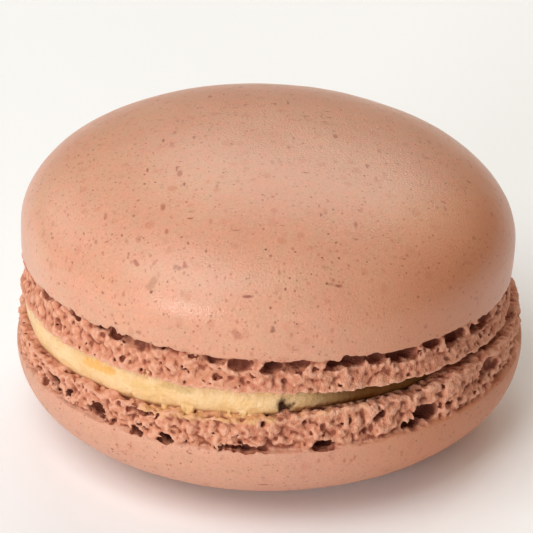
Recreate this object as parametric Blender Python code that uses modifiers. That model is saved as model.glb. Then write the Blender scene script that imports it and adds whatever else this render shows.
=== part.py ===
# Coffee macaron: two domed almond shells with ruffled feet and a layer of cream between them.
# Run with blender --background --python part.py, or from Blender's text editor.
# Metres, +Z up. The lower shell stands on its flat underside at the origin.
# Azimuths are degrees from the front (-Y), positive towards +X.
import math
import random

import bmesh
import bpy
from mathutils import Euler, Vector, noise

MM = 0.001
COLLECTION_NAME = "coffee_macaron"

# Lower shell: a dome turned upside down, widest near its skin's edge
LOWER_RADIUS = 22.5 * MM
LOWER_FLAT_RADIUS = 8.85 * MM
LOWER_WIDEST_HEIGHT = 7.47 * MM
LOWER_RIM_HEIGHT = 8.1 * MM
LOWER_FOOT_RADIUS = 22.35 * MM
LOWER_FOOT_TOP_RADIUS = 22.1 * MM
LOWER_FACE_HEIGHT = 10.55 * MM
LOWER_SQUARENESS = 2.07

# Upper shell: heights are counted from its widest ring
UPPER_RADIUS = 21.75 * MM
UPPER_FLAT_RADIUS = 1.6 * MM
UPPER_DOME_HEIGHT = 9.6 * MM
UPPER_RIM_DROP = 2.35 * MM
UPPER_RIM_RADIUS = 21.6 * MM
UPPER_FOOT_RADIUS = 21.4 * MM
UPPER_FOOT_EDGE_RADIUS = 21.6 * MM
UPPER_FOOT_DROP = 5.38 * MM
UPPER_FACE_DROP = 5.0 * MM
UPPER_SQUARENESS = 2.05
UPPER_WIDEST_HEIGHT = 18.14 * MM
UPPER_OFFSET = (-0.09 * MM, -0.07 * MM)
UPPER_TILT = (math.radians(-1.72), math.radians(2.49))
UPPER_DROOP = 0.45 * MM

# Cream layer
CREAM_RADIUS = 21.35 * MM
CREAM_RECESS = 3.4 * MM
CREAM_RECESS_AZIMUTH = 68
CREAM_RECESS_SPREAD = 32
CREAM_BACK_RECESS = 0.7 * MM
CREAM_BULGE = 0.25 * MM
TOUCH_GAP = 0.3 * MM

# Faces between the shells: level inside, then rising to the foot's edge
FACE_INNER_RADIUS = 16.0 * MM
FACE_OUTER_RADIUS = 20.2 * MM
FOOT_INNER_RADIUS = 20.9 * MM
LOWER_FACE_LIP = 0.35 * MM
UPPER_FACE_LIP = 0.12 * MM
RIM_STEP = 0.2 * MM
LOWER_RIM_STEP = 0.12 * MM
RIM_FULLNESS = 0.03 * MM
HAIR = 0.05 * MM

# Columns round the axis, rows up the dome
COLUMNS = 96
DOME_ROWS = 9
FOOT_ROWS = 6
CREAM_ROWS = 4

# Foot relief
LUMP_DEPTH = 0.38 * MM
LUMP_SIZE = 1.5 * MM
EDGE_WAVE = 0.1 * MM
WAVE_LENGTH = 1.8 * MM
RIM_LIFT = 0.35
MOST_LIFT = 0.35 * MM
HOLE_REACH = 0.62

# Holes that show under the upper skin: azimuth, width, middle drop, height, depth, in degrees and mm
UPPER_HOLES = (
    (-72, 1.7, 3.0, 1.3, 0.8), (-62, 1.6, 2.9, 1.0, 1.1), (-50, 2.3, 2.7, 0.9, 0.7),
    (-42, 1.4, 2.6, 0.9, 1.0), (-37, 2.2, 2.9, 1.2, 1.2), (-31, 2.6, 3.0, 1.4, 0.8),
    (-25, 1.7, 2.7, 1.1, 0.8), (-12, 1.6, 2.8, 1.1, 1.0), (-6, 1.6, 3.0, 1.4, 1.1),
    (1, 1.6, 3.1, 1.5, 1.5), (7, 1.9, 3.0, 1.5, 1.1), (18, 3.6, 2.9, 1.4, 1.8),
    (26, 2.2, 2.9, 1.2, 1.1), (33, 2.4, 3.2, 1.8, 1.7), (41, 1.8, 3.0, 1.3, 1.0),
    (49, 2.4, 3.3, 1.8, 1.5), (60, 3.4, 3.4, 1.8, 1.6),
)
# Holes that show over the lower skin: azimuth, width, middle height, height, depth
LOWER_HOLES = (
    (-66, 1.2, 9.3, 0.9, 0.7), (-61, 1.2, 8.6, 0.9, 0.8), (-53, 3.2, 9.1, 1.6, 1.5),
    (-42, 1.7, 8.8, 1.5, 1.4), (-30, 2.2, 10.2, 0.9, 0.9), (-23, 1.6, 8.5, 1.0, 1.5),
    (-6, 4.4, 8.6, 1.1, 1.2), (12, 1.7, 8.5, 1.0, 1.5), (25, 1.1, 10.0, 1.0, 1.2),
    (35, 3.8, 8.9, 1.9, 1.9), (59, 3.2, 10.0, 1.6, 1.0), (66, 1.6, 9.0, 0.8, 1.2),
)
HIDDEN_FROM = 80
HIDDEN_TO = 282
HIDDEN_HOLES = 22
UPPER_SEED = 11
LOWER_SEED = 29

UPPER_COLOR = (0.60, 0.34, 0.21, 1.0)
LOWER_COLOR = (0.60, 0.34, 0.22, 1.0)
CREAM_COLOR = (0.83, 0.62, 0.30, 1.0)


def clear_scene():
    for old in list(bpy.data.objects):
        bpy.data.objects.remove(old, do_unlink=True)


def make_collection(name):
    collection = bpy.data.collections.new(name)
    bpy.context.scene.collection.children.link(collection)
    return collection


def make_material(name, color, roughness):
    material = bpy.data.materials.new(name)
    material.use_nodes = True
    shader = material.node_tree.nodes["Principled BSDF"]
    shader.inputs["Base Color"].default_value = color
    shader.inputs["Roughness"].default_value = roughness
    shader.inputs["Metallic"].default_value = 0.0
    return material


def smoothstep(low, high, value):
    part = min(1.0, max(0.0, (value - low) / (high - low)))
    return part * part * (3.0 - 2.0 * part)


def azimuth_of(x, y):
    return math.degrees(math.atan2(x, -y))


def turn_between(first, second):
    """The signed angle from second to first, in degrees within a half turn."""
    return (first - second + 180.0) % 360.0 - 180.0


def dome_points(radius, flat_radius, height, squareness, rows):
    """A dome's half outline as (radius, height above its widest ring), from the flat top down."""
    points = []
    for row in range(rows):
        angle = math.radians(90.0 * (1.0 - row / rows))
        across = math.cos(angle) ** (2.0 / squareness)
        up = math.sin(angle) ** (2.0 / squareness)
        points.append((flat_radius + (radius - flat_radius) * across, height * up))
    points.append((radius, 0.0))
    return points


def upper_profile():
    """The upper shell's half outline about its widest ring, from the top of the dome to the centre below."""
    points = [(0.0, UPPER_DOME_HEIGHT)]
    points += dome_points(UPPER_RADIUS, UPPER_FLAT_RADIUS, UPPER_DOME_HEIGHT, UPPER_SQUARENESS, DOME_ROWS)
    points.append(((UPPER_RADIUS + UPPER_RIM_RADIUS) / 2.0 + RIM_FULLNESS, -UPPER_RIM_DROP / 2.0))
    points.append((UPPER_RIM_RADIUS, -UPPER_RIM_DROP))
    first_drop = UPPER_RIM_DROP + RIM_STEP
    for row in range(FOOT_ROWS + 1):
        part = row / FOOT_ROWS
        radius = UPPER_FOOT_RADIUS + (UPPER_FOOT_EDGE_RADIUS - UPPER_FOOT_RADIUS) * part
        points.append((radius, -(first_drop + (UPPER_FOOT_DROP - first_drop) * part)))
    points.append((FACE_OUTER_RADIUS, -UPPER_FOOT_DROP + UPPER_FACE_LIP))
    points.append((FACE_INNER_RADIUS, -UPPER_FACE_DROP))
    points.append((0.0, -UPPER_FACE_DROP))
    return points


def lower_profile():
    """The lower shell's half outline, from the centre of its upper face round the foot to the base."""
    points = [(0.0, LOWER_FACE_HEIGHT), (FACE_INNER_RADIUS, LOWER_FACE_HEIGHT)]
    foot_top = LOWER_FACE_HEIGHT + LOWER_FACE_LIP
    points.append((FACE_OUTER_RADIUS, foot_top))
    last_height = LOWER_RIM_HEIGHT + LOWER_RIM_STEP
    for row in range(FOOT_ROWS + 1):
        part = row / FOOT_ROWS
        radius = LOWER_FOOT_TOP_RADIUS + (LOWER_FOOT_RADIUS - LOWER_FOOT_TOP_RADIUS) * math.sqrt(part)
        points.append((radius, foot_top + (last_height - foot_top) * part))
    points.append((LOWER_RADIUS, LOWER_RIM_HEIGHT))
    dome = dome_points(LOWER_RADIUS, LOWER_FLAT_RADIUS, LOWER_WIDEST_HEIGHT, LOWER_SQUARENESS, DOME_ROWS)
    for radius, height in reversed(dome):
        points.append((radius, LOWER_WIDEST_HEIGHT - height))
    points.append((0.0, 0.0))
    return points


def turned_mesh(name, profile, columns):
    """A closed mesh: the half outline turned about Z by a Screw modifier."""
    line = bpy.data.meshes.new(name + "_outline")
    line.from_pydata([(r, 0.0, z) for r, z in profile], [(i, i + 1) for i in range(len(profile) - 1)], [])
    turned = bpy.data.objects.new(name + "_outline", line)
    bpy.context.scene.collection.objects.link(turned)
    screw = turned.modifiers.new("turn", "SCREW")
    screw.axis = "Z"
    screw.angle = math.tau
    screw.steps = columns
    screw.render_steps = columns
    screw.use_merge_vertices = True
    screw.merge_threshold = 0.02 * MM
    graph = bpy.context.evaluated_depsgraph_get()
    mesh = bpy.data.meshes.new_from_object(turned.evaluated_get(graph))
    mesh.name = name
    bpy.data.objects.remove(turned, do_unlink=True)
    bpy.data.meshes.remove(line)
    return mesh


def refine_foot(mesh, low, high):
    """Halve the columns' width between two heights, where the foot's relief is."""
    shape = bmesh.new()
    shape.from_mesh(mesh)
    rings = []
    for edge in shape.edges:
        first, second = edge.verts
        outside = math.hypot(first.co.x, first.co.y) > FOOT_INNER_RADIUS
        level = abs(first.co.z - second.co.z) < 0.1 * HAIR
        if level and outside and low < first.co.z < high:
            rings.append(edge)
    bmesh.ops.subdivide_edges(shape, edges=rings, cuts=1, use_grid_fill=True)
    shape.to_mesh(mesh)
    shape.free()


def all_holes(shown, seed, middle, columns_reach):
    """The holes that show, with seeded ones of the same sizes round the hidden side."""
    draw = random.Random(seed)
    holes = list(shown)
    step = (HIDDEN_TO - HIDDEN_FROM) / HIDDEN_HOLES
    for index in range(HIDDEN_HOLES):
        azimuth = HIDDEN_FROM + step * (index + draw.uniform(0.2, 0.8))
        height = draw.uniform(0.9, 1.7)
        level = middle + draw.uniform(-0.2, 0.5) * columns_reach
        holes.append((azimuth, draw.uniform(1.2, 3.4), level, height, draw.uniform(0.8, 1.7)))
    return holes


def hole_depth(azimuth, level, radius, holes):
    """How far the foot is pushed in here, and how far the nearest hole lifts the skin's edge."""
    depth = 0.0
    lift = 0.0
    for hole_azimuth, width, hole_level, height, hole_in in holes:
        along = math.radians(turn_between(azimuth, hole_azimuth)) * radius
        beside = along / (width * MM * HOLE_REACH)
        above = (level - hole_level * MM) / (height * MM * HOLE_REACH)
        near = math.exp(-(beside ** 4) - above ** 4)
        depth = max(depth, hole_in * MM * near)
        lift = max(lift, RIM_LIFT * hole_in * MM * math.exp(-(beside ** 4)))
    return depth, lift


def lumps(point, seed):
    """Uneven lumps of the foot, from 0 outside to 1 at the deepest."""
    place = Vector(point) / LUMP_SIZE + Vector((seed, 0.0, 0.0))
    coarse = noise.noise(place)
    fine = noise.noise(place * 2.3)
    return min(1.0, max(0.0, 0.45 - 0.6 * coarse - 0.35 * fine))


def lower_foot_edge(azimuth):
    """Extra height of the lower foot's upper edge: low at the left, raised right of the front."""
    turn = math.radians(azimuth)
    ridge = math.exp(-(turn_between(azimuth, 17.0) / 12.0) ** 2)
    sag = smoothstep(55.0, 15.0, abs(turn_between(azimuth, 92.0)))
    return (0.55 * math.sin(turn) + 0.3 * math.cos(turn) + 0.35 * ridge - 0.45 * sag - 0.05) * MM


def upper_droop(azimuth):
    """Extra drop of the upper shell's edge, which sags a little at the right."""
    return UPPER_DROOP * smoothstep(40.0, 8.0, abs(turn_between(azimuth, 85.0)))


def upper_foot_edge(azimuth):
    """Extra drop of the upper foot's lower edge, which is deeper at the left."""
    return 0.25 * MM * math.exp(-(turn_between(azimuth, -62.0) / 26.0) ** 2)


def upper_face_drop(radius, azimuth):
    """Drop of the upper shell's underside below its widest ring."""
    rise = smoothstep(FACE_INNER_RADIUS, FACE_OUTER_RADIUS, radius)
    edge = UPPER_FOOT_DROP + upper_foot_edge(azimuth) + upper_droop(azimuth)
    return UPPER_FACE_DROP + (edge - UPPER_FACE_DROP) * rise


def lower_face_height(radius, azimuth):
    """Height of the lower shell's upper face."""
    rise = smoothstep(FACE_INNER_RADIUS, FACE_OUTER_RADIUS, radius)
    return LOWER_FACE_HEIGHT + (LOWER_FACE_LIP + lower_foot_edge(azimuth)) * rise


def shape_upper(mesh):
    """Ruffle the upper foot: holes under the skin's edge, lumps below, and a thin uneven lower edge."""
    holes = all_holes(UPPER_HOLES, UPPER_SEED, 3.0, 1.0)
    foot_height = UPPER_FOOT_DROP - UPPER_RIM_DROP
    for vertex in mesh.vertices:
        x, y, z = vertex.co
        radius = math.hypot(x, y)
        drop = -z
        if drop < HAIR or radius < HAIR:
            continue
        azimuth = azimuth_of(x, y)
        sag = upper_droop(azimuth) * smoothstep(0.0, UPPER_RIM_DROP, drop)
        if drop < UPPER_RIM_DROP - HAIR:
            vertex.co.z -= sag
            continue
        depth, lift = hole_depth(azimuth, drop, radius, holes)
        wave = EDGE_WAVE * noise.noise(Vector((x, y, 0.0)) / WAVE_LENGTH)
        if radius < FOOT_INNER_RADIUS:
            vertex.co.z = -upper_face_drop(radius, azimuth)
            continue
        part = min(1.0, max(0.0, (drop - UPPER_RIM_DROP) / foot_height))
        if part < 0.02:
            vertex.co.z += min(lift, MOST_LIFT) + wave - sag
            continue
        inward = depth + LUMP_DEPTH * lumps((x, y, z), UPPER_SEED) * (1.0 - 0.6 * part)
        scale = (radius - inward) / radius
        vertex.co.x *= scale
        vertex.co.y *= scale
        vertex.co.z -= sag + (upper_foot_edge(azimuth) + wave) * part


def shape_lower(mesh):
    """Ruffle the lower foot: lumps up to its uneven upper edge and holes over the skin's edge."""
    holes = all_holes(LOWER_HOLES, LOWER_SEED, 9.0, 1.2)
    foot_top = LOWER_FACE_HEIGHT + LOWER_FACE_LIP
    foot_height = foot_top - LOWER_RIM_HEIGHT
    for vertex in mesh.vertices:
        x, y, z = vertex.co
        radius = math.hypot(x, y)
        if z < LOWER_RIM_HEIGHT - HAIR or radius < HAIR:
            continue
        azimuth = azimuth_of(x, y)
        if radius < FOOT_INNER_RADIUS:
            vertex.co.z = lower_face_height(radius, azimuth)
            continue
        part = min(1.0, max(0.0, (z - LOWER_RIM_HEIGHT) / foot_height))
        wave = EDGE_WAVE * noise.noise(Vector((x, y, z)) / WAVE_LENGTH)
        if part < 0.02:
            vertex.co.z += wave
            continue
        level = z + lower_foot_edge(azimuth) * part
        depth, lift = hole_depth(azimuth, level, radius, holes)
        inward = depth + LUMP_DEPTH * lumps((x, y, z), LOWER_SEED)
        scale = (radius - inward) / radius
        vertex.co.x *= scale
        vertex.co.y *= scale
        vertex.co.z = level + wave * part


def finish_shell(mesh):
    shape = bmesh.new()
    shape.from_mesh(mesh)
    bmesh.ops.triangulate(shape, faces=shape.faces[:])
    bmesh.ops.recalc_face_normals(shape, faces=shape.faces[:])
    shape.to_mesh(mesh)
    shape.free()
    mesh.shade_smooth()
    mesh.set_sharp_from_angle(angle=math.radians(50.0))


def add_object(name, mesh, material, collection):
    mesh.materials.clear()
    mesh.materials.append(material)
    part = bpy.data.objects.new(name, mesh)
    collection.objects.link(part)
    return part


def make_lower_shell(collection):
    mesh = turned_mesh("bottom_shell", lower_profile(), COLUMNS)
    refine_foot(mesh, LOWER_RIM_HEIGHT - HAIR, LOWER_FACE_HEIGHT + LOWER_FACE_LIP + HAIR)
    shape_lower(mesh)
    finish_shell(mesh)
    return add_object("bottom_shell", mesh, make_material("lower_skin", LOWER_COLOR, 0.55), collection)


def upper_placement():
    """The upper shell's place: its widest ring's centre, tilted down to the right and up at the front."""
    turn = Euler((UPPER_TILT[0], UPPER_TILT[1], 0.0), "XYZ").to_matrix().to_4x4()
    turn.translation = (UPPER_OFFSET[0], UPPER_OFFSET[1], UPPER_WIDEST_HEIGHT)
    return turn


def make_upper_shell(collection):
    mesh = turned_mesh("top_shell", upper_profile(), COLUMNS)
    refine_foot(mesh, -UPPER_FOOT_DROP - HAIR, -UPPER_RIM_DROP + HAIR)
    shape_upper(mesh)
    finish_shell(mesh)
    shell = add_object("top_shell", mesh, make_material("upper_skin", UPPER_COLOR, 0.5), collection)
    shell.matrix_world = upper_placement()
    return shell


def cream_radius(azimuth):
    """The cream's reach: flush at the left and front, drawn back at the right, a little at the back."""
    right = math.exp(-(turn_between(azimuth, CREAM_RECESS_AZIMUTH) / CREAM_RECESS_SPREAD) ** 2)
    back = math.exp(-(turn_between(azimuth, 185.0) / 50.0) ** 2)
    return CREAM_RADIUS - CREAM_RECESS * right - CREAM_BACK_RECESS * back


def cream_profile():
    """A thin disc's half outline of unit radius, its side from height 1 to 0."""
    points = [(0.0, 1.0), (0.45, 1.0), (0.75, 1.0), (0.93, 1.0)]
    points += [(1.0, 1.0 - row / CREAM_ROWS) for row in range(CREAM_ROWS + 1)]
    points += [(0.93, 0.0), (0.75, 0.0), (0.45, 0.0), (0.0, 0.0)]
    return points


def make_cream(collection):
    """The cream fills the space between the two faces, a touch gap clear of both."""
    scaled = [(r * CREAM_RADIUS, h * MM) for r, h in cream_profile()]
    mesh = turned_mesh("filling", scaled, COLUMNS)
    placement = upper_placement()
    for vertex in mesh.vertices:
        x, y, level = vertex.co
        level /= MM
        radius = math.hypot(x, y)
        azimuth = azimuth_of(x, y) if radius > HAIR else 0.0
        reach = cream_radius(azimuth) / CREAM_RADIUS
        side = smoothstep(0.97, 1.0, radius / CREAM_RADIUS)
        bulge = CREAM_BULGE * side * (4.0 * level * (1.0 - level) - 0.5)
        stretch = (radius * reach + bulge) / radius if radius > HAIR else 1.0
        out = Vector((x * stretch, y * stretch, 0.0))
        below = lower_face_height(out.length, azimuth) + TOUCH_GAP
        above = (placement @ Vector((out.x, out.y, -upper_face_drop(out.length, azimuth)))).z - TOUCH_GAP
        vertex.co = (out.x, out.y, below + (above - below) * level)
    finish_shell(mesh)
    return add_object("filling", mesh, make_material("cream", CREAM_COLOR, 0.45), collection)


def main():
    clear_scene()
    collection = make_collection(COLLECTION_NAME)
    make_lower_shell(collection)
    make_cream(collection)
    make_upper_shell(collection)


main()
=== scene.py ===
import math
import random
from functools import partial

import bpy
import numpy as np
from mathutils import Euler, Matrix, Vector, noise


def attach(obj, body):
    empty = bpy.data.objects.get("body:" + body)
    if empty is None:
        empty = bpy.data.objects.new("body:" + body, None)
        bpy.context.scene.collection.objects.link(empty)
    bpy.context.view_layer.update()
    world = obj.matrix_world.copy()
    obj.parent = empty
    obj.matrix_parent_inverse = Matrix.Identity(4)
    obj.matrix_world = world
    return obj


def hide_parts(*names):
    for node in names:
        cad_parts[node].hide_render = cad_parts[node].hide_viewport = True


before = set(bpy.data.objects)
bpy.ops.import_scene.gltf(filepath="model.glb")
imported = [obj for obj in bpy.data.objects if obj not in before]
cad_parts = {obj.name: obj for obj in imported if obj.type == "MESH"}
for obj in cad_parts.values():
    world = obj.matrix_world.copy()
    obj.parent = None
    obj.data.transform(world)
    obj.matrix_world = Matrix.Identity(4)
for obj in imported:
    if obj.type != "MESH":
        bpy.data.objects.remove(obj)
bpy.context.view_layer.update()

mm = 0.001
imageSide = 533
print("frame loaded")

# Both shells are built dome up, in millimetres: a drop is counted down from the widest ring.
# Azimuths are degrees from the front (-Y), positive towards +X.
upperShell = {
    "radius": 21.75, "flatRadius": 1.6, "domeHeight": 9.54, "squareness": 2.05,
    "rimDrop": 2.35, "rimRadius": 21.6, "rimWave": 0.8,         # the skin and its wavy edge
    "footRadius": 21.6, "footFlare": 0.2, "footDrop": 5.38, "faceDrop": 5.0,
    "lumpDepth": 0.95, "edgeWave": 0.4, "crevice": 0.35, "poreAmount": 0.27,
    "cutDrop": 1.4, "innerRadius": 20.5, "columns": 960, "domeRows": 66, "domeColumns": 480, "seed": 11,
    "widestHeight": 18.14, "offset": (-0.09, -0.07), "tilt": (-1.72, 2.49),
}
lowerShell = {
    "radius": 22.5, "flatRadius": 8.85, "domeHeight": 7.47, "squareness": 2.07,
    "rimDrop": 0.63, "rimRadius": 22.46, "rimWave": 0.55,
    "footRadius": 22.5, "footFlare": -0.15, "footDrop": 3.43, "faceDrop": 3.08,
    "lumpDepth": 1.25, "edgeWave": 0.95, "crevice": 0.3, "poreAmount": 0.55,
    "cutDrop": 0.12, "innerRadius": 19.3, "columns": 896, "domeRows": 36, "domeColumns": 240, "seed": 29,
    "widestHeight": 7.47, "offset": (0.0, 0.0), "tilt": (0.0, 0.0),
}
cream = {
    "radius": 21.45, "recess": 3.1, "recessAzimuth": 80.0, "recessSpread": 34.0, "backRecess": 0.7,
    "leftReach": 0.25, "leftAzimuth": -88.0, "leftSpread": 32.0,
    "bulge": 0.3, "ripple": 0.45, "grip": 0.18, "innerRadius": 20.4, "columns": 960, "seed": 5,
}
faceInner, faceOuter = 16.0, 20.2     # the faces between the shells rise between these radii
wrapRadius = 22.0                     # radius at which the unrolled feet have their true length
footMargin = {"inner": 0.85, "outer": 0.3, "below": 0.45, "above": 0.21}     # of their blocks of values
creamMargin = {"inner": 0.5, "outer": 0.75, "low": -2.5, "high": 1.5}

# Holes of the photo: azimuth, width, middle drop, height, depth
upperHoles = (
    (-80, 1.2, 2.9, 0.9, 0.8), (-72, 1.7, 2.9, 1.2, 1.0), (-62, 1.6, 2.7, 1.0, 1.3),
    (-56, 0.6, 4.3, 0.8, 0.6), (-50, 2.3, 2.5, 0.9, 1.0), (-42, 1.3, 2.4, 1.0, 1.3),
    (-37, 2.2, 2.6, 1.2, 1.3), (-31, 2.4, 2.8, 1.4, 1.0), (-44, 0.4, 4.4, 0.5, 0.5),
    (-25, 1.8, 2.5, 0.9, 1.1), (-22, 0.5, 4.3, 0.5, 0.6), (-32, 0.4, 4.6, 0.4, 0.5),
    (-28, 1.3, 5.1, 0.5, 0.4), (-17, 0.8, 2.7, 0.6, 0.8), (-12, 1.6, 2.7, 1.1, 1.2),
    (-11, 0.6, 4.35, 0.65, 0.8), (-6, 1.5, 2.9, 1.3, 1.2), (-3, 0.6, 3.4, 0.4, 0.7),
    (-3, 0.4, 3.95, 0.4, 0.5), (1, 1.5, 3.0, 1.3, 1.6), (6.5, 1.9, 2.8, 1.4, 1.3),
    (11, 0.6, 3.2, 0.5, 0.5), (4, 0.4, 4.3, 0.3, 0.5), (15, 1.9, 3.0, 0.9, 1.6), (19, 2.3, 2.7, 1.4, 2.0),
    (26, 2.2, 2.8, 1.2, 1.4), (33, 2.3, 3.1, 1.8, 2.0), (38, 0.5, 3.3, 0.5, 0.6),
    (41, 1.7, 2.9, 1.2, 1.3), (49, 2.2, 3.2, 1.7, 1.8), (60, 3.2, 3.2, 1.6, 1.8),
    (61, 0.9, 4.6, 0.5, 0.7), (70, 1.4, 3.3, 1.0, 1.2),
)
lowerHoles = (
    (-74, 0.7, 1.4, 0.5, 0.6), (-68, 0.7, 2.0, 0.6, 0.6), (-62, 1.0, 1.0, 0.9, 1.0),
    (-57, 2.4, 2.0, 1.3, 2.0), (-53, 2.2, 1.5, 1.2, 1.8), (-42, 1.6, 1.4, 1.4, 1.7),
    (-38, 1.0, 0.8, 0.5, 1.0), (-30, 2.2, 2.8, 0.8, 1.0), (-30.5, 1.1, 0.75, 0.9, 1.3),
    (-27, 0.6, 2.9, 0.4, 0.9), (-29, 1.3, 1.6, 0.7, 1.1), (-23, 1.3, 0.9, 1.1, 2.0),
    (-20, 1.3, 1.0, 0.4, 1.1), (-10, 1.8, 0.9, 0.7, 1.1), (-6, 2.4, 0.8, 0.9, 1.5),
    (-2, 1.2, 0.8, 0.6, 1.0), (4, 1.2, 2.3, 0.25, 0.6), (3.6, 0.9, 3.6, 0.8, 1.3),
    (12, 1.7, 0.8, 0.9, 2.2), (17, 0.8, 2.4, 0.5, 0.8), (22, 0.9, 1.5, 0.5, 0.9),
    (25, 0.9, 2.5, 0.9, 1.4), (33, 1.9, 1.1, 1.0, 1.9), (37, 2.2, 1.5, 1.4, 2.2),
    (43, 1.6, 1.6, 0.5, 1.0), (53, 1.2, 1.3, 0.5, 0.9), (59, 3.0, 2.5, 1.4, 1.1),
    (66, 1.4, 1.5, 0.7, 1.4),
)
hiddenHoles = {"from": 78, "to": 276, "count": 30}
bubbleSizes = (0.62, 0.46, 0.33, 0.22)     # radii of the bubbles that make up a hole
poreSizes = ((0.30, 0.2), (0.21, 0.6), (0.15, 1.5))     # radius, number on a square millimetre

# Marks on the upper skin: place on the dome seen from above, radius, depth
skinMarks = (
    (-9.7, -18.4, 0.33, 0.05), (-15.2, -15.4, 0.25, 0.06), (-8.1, -2.4, 0.3, 0.07),
    (0.32, -21.5, 0.3, 0.08), (-2.8, -21.4, 0.35, 0.05), (3.9, -21.2, 0.3, 0.04),
    (-5.3, -20.3, 0.3, 0.03), (6.0, -12.0, 0.3, 0.04),
)


def smoothstep(low, high, value):
    part = np.clip((value - low) / (high - low), 0.0, 1.0)
    return part * part * (3.0 - 2.0 * part)


def turnBetween(first, second):
    return (first - second + 180.0) % 360.0 - 180.0


# How the feet's edges and the upper rim swing along the azimuth, in millimetres downwards
def upperDroop(azimuth):
    return 0.45 * smoothstep(40.0, 8.0, abs(turnBetween(azimuth, 85.0)))


def upperFootEdge(azimuth):
    return 0.25 * np.exp(-(turnBetween(azimuth, -62.0) / 26.0) ** 2)


def lowerFootEdge(azimuth):
    turn = np.radians(azimuth)
    ridge = np.exp(-(turnBetween(azimuth, 17.0) / 12.0) ** 2)
    sag = smoothstep(55.0, 15.0, abs(turnBetween(azimuth, 92.0)))
    return 0.55 * np.sin(turn) + 0.3 * np.cos(turn) + 0.35 * ridge - 0.45 * sag - 0.05


# How far a point of this shell lies below its even drop
def extraDrop(shell, drop, azimuth):
    part = np.clip((drop - shell["rimDrop"]) / (shell["footDrop"] - shell["rimDrop"]), 0.0, 1.0)
    if shell is upperShell:
        return upperDroop(azimuth) * smoothstep(0.0, shell["rimDrop"], drop) + upperFootEdge(azimuth) * part
    return lowerFootEdge(azimuth) * part


# Node helpers, for geometry and for materials alike
def addNode(tree, kind, settings=None, values=None):
    node = tree.nodes.new(kind)
    for name, value in (settings or {}).items():
        setattr(node, name, value)
    for key, value in (values or {}).items():
        if isinstance(value, bpy.types.NodeSocket):
            tree.links.new(value, node.inputs[key])
        else:
            node.inputs[key].default_value = value
    return node


def calc(tree, operation, *values):
    return addNode(tree, "ShaderNodeMath", {"operation": operation}, dict(enumerate(values))).outputs[0]


def vectorCalc(tree, operation, first, second):
    other = "Scale" if operation == "SCALE" else 1
    node = addNode(tree, "ShaderNodeVectorMath", {"operation": operation}, {0: first, other: second})
    return node.outputs["Value" if operation in ("DISTANCE", "DOT_PRODUCT") else "Vector"]


# One tree's own shorthands for its commonest sums, and for any other
def sumsOf(tree):
    named = [partial(calc, tree, operation) for operation in ("ADD", "SUBTRACT", "MULTIPLY")]
    return named + [partial(calc, tree)]


def noiseOf(tree, place, scale, detail, output=0):
    made = addNode(tree, "ShaderNodeTexNoise", values={"Vector": place, "Scale": scale, "Detail": detail})
    return made.outputs[output]


def upward(tree, height):
    return addNode(tree, "ShaderNodeCombineXYZ", values={2: height}).outputs[0]


def distanceTo(tree, points, place):
    near = addNode(tree, "GeometryNodeProximity", {"target_element": "POINTS"}, {
        "Geometry": points, "Sample Position": place})
    return near.outputs["Distance"]


# A node group from its inputs' names, kinds and defaults, and its outputs' names and kinds
def newTree(name, family, inputs, outputs):
    tree = bpy.data.node_groups.new(name, family + "NodeTree")
    for label, kind, *value in inputs:
        socket = tree.interface.new_socket(label, in_out="INPUT", socket_type="NodeSocket" + kind)
        if value:
            socket.default_value = value[0]
    for label, kind in outputs:
        tree.interface.new_socket(label, in_out="OUTPUT", socket_type="NodeSocket" + kind)
    return tree, tree.nodes.new("NodeGroupInput").outputs


def placed(name, data):
    thing = bpy.data.objects.new(name, data)
    bpy.context.scene.collection.objects.link(thing)
    return thing


# The plain mesh that the tree makes of the host mesh with these input values
def runTree(name, tree, host, values):
    maker = placed(name + "Maker", host)
    modifier = maker.modifiers.new("make", "NODES")
    modifier.node_group = tree
    for item in tree.interface.items_tree:
        if item.in_out == "INPUT" and item.name in values:
            modifier[item.identifier] = values[item.name]
    graph = bpy.context.evaluated_depsgraph_get()
    mesh = bpy.data.meshes.new_from_object(maker.evaluated_get(graph))
    mesh.name = name
    bpy.data.objects.remove(maker)
    return mesh


# A block's unrolled place, its radius, and what rolls up a distance and a height there
def rolledFields(tree):
    position = addNode(tree, "GeometryNodeInputPosition").outputs[0]
    place = addNode(tree, "ShaderNodeSeparateXYZ", values={0: position})
    angle = calc(tree, "DIVIDE", place.outputs[0], wrapRadius)
    radius = calc(tree, "MULTIPLY", place.outputs[1], -1.0)

    def roll(distance, height):
        return addNode(tree, "ShaderNodeCombineXYZ", values={
            0: calc(tree, "MULTIPLY", distance, calc(tree, "SINE", angle)),
            1: calc(tree, "MULTIPLY", calc(tree, "MULTIPLY", distance, -1.0), calc(tree, "COSINE", angle)),
            2: height}).outputs[0]

    return place, radius, roll


# Rounded puffs with sharp creases between them: 0 on their tops
def puffs(tree, place, scale):
    cells = addNode(tree, "ShaderNodeTexVoronoi", {"feature": "SMOOTH_F1"}, {
        "Vector": place, "Scale": scale, "Smoothness": 0.2})
    return calc(tree, "MULTIPLY", cells.outputs["Distance"], cells.outputs["Distance"])


def ripple(tree, place, scale, detail=1.0):
    return calc(tree, "SUBTRACT", noiseOf(tree, place, scale, detail), 0.5)


def mapped(tree, value, low, high, start=0.0, end=1.0, smooth=True):
    kind = "SMOOTHSTEP" if smooth else "LINEAR"
    return addNode(tree, "ShaderNodeMapRange", {"interpolation_type": kind}, {
        0: value, 1: low, 2: high, 3: start, 4: end}).outputs[0]


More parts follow.
